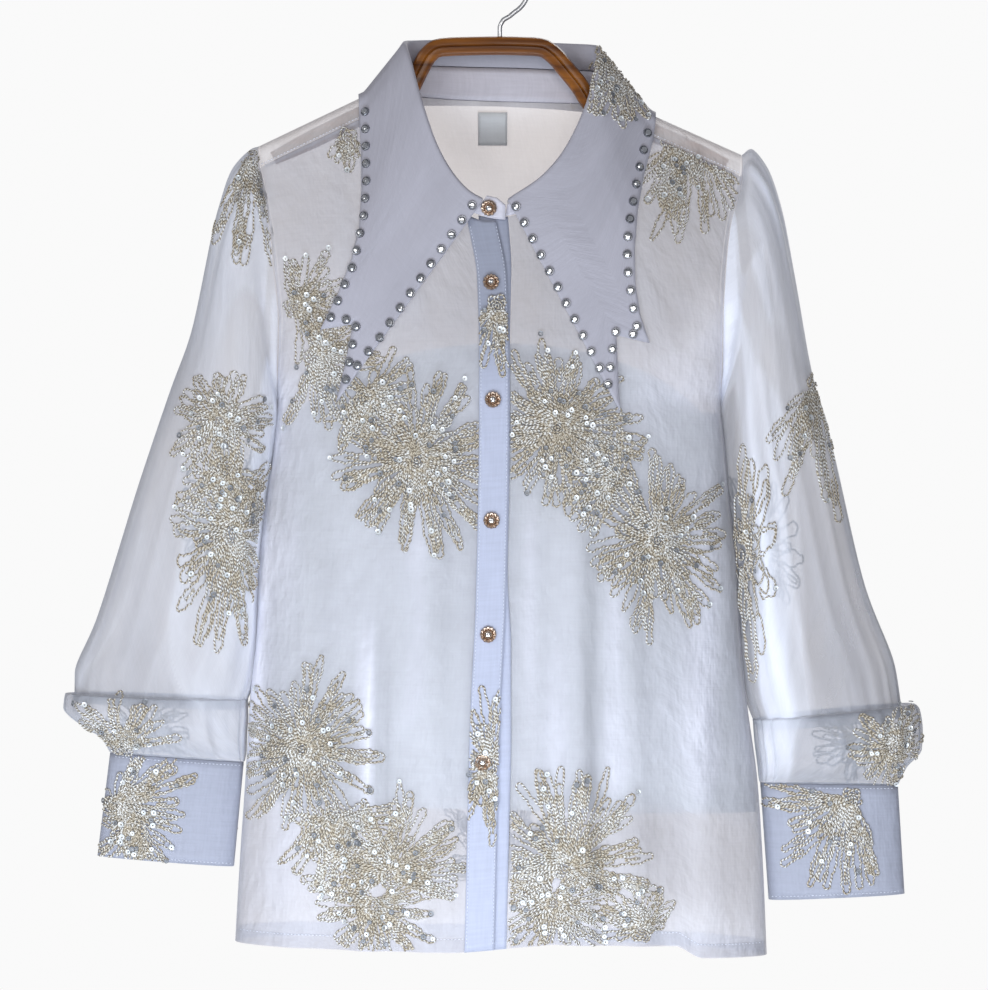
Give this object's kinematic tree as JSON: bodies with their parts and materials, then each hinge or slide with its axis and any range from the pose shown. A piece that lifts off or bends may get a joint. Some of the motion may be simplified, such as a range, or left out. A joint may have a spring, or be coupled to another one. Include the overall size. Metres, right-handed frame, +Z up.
{
  "type": "flared sleeve shirt on a hanger",
  "caption": "Sheer embroidered blouse with a long pointed stud-edged collar, gathered flared sleeves and deep cuffs, hung on a wooden hanger.",
  "frame": {"origin": "inside of the hanger hook's crook, at its top, where a rail carries it", "axes": "+Z up, -Y out of the shirt's front, +X towards the wearer's left"},
  "size_m": [0.6467, 0.1412, 0.7505],
  "materials": {
    "organza": "sheer crisp weave",
    "band_cotton": "matt",
    "collar_cotton": "matt",
    "cuff_cotton": "matt",
    "lining_voile": "matt",
    "label_satin": "satin",
    "button_gold": "polished",
    "hanger_wood": "varnished",
    "hook_steel": "polished"
  },
  "bodies": {
    "root": {"front_right": "organza", "front_left": "organza", "back": "organza", "placket_right": "band_cotton", "placket_left": "band_cotton", "collar_stand": "collar_cotton", "collar_leaf": "collar_cotton", "sleeve_right": "organza", "sleeve_left": "organza", "cuff_right": "cuff_cotton", "cuff_left": "cuff_cotton", "lining": "lining_voile", "neck_label": "label_satin", "button_1": "button_gold", "button_2": "button_gold", "button_3": "button_gold", "button_4": "button_gold", "button_5": "button_gold", "button_6": "button_gold", "hanger": "hanger_wood", "hanger_hook": "hook_steel"}
  },
  "joints": []
}
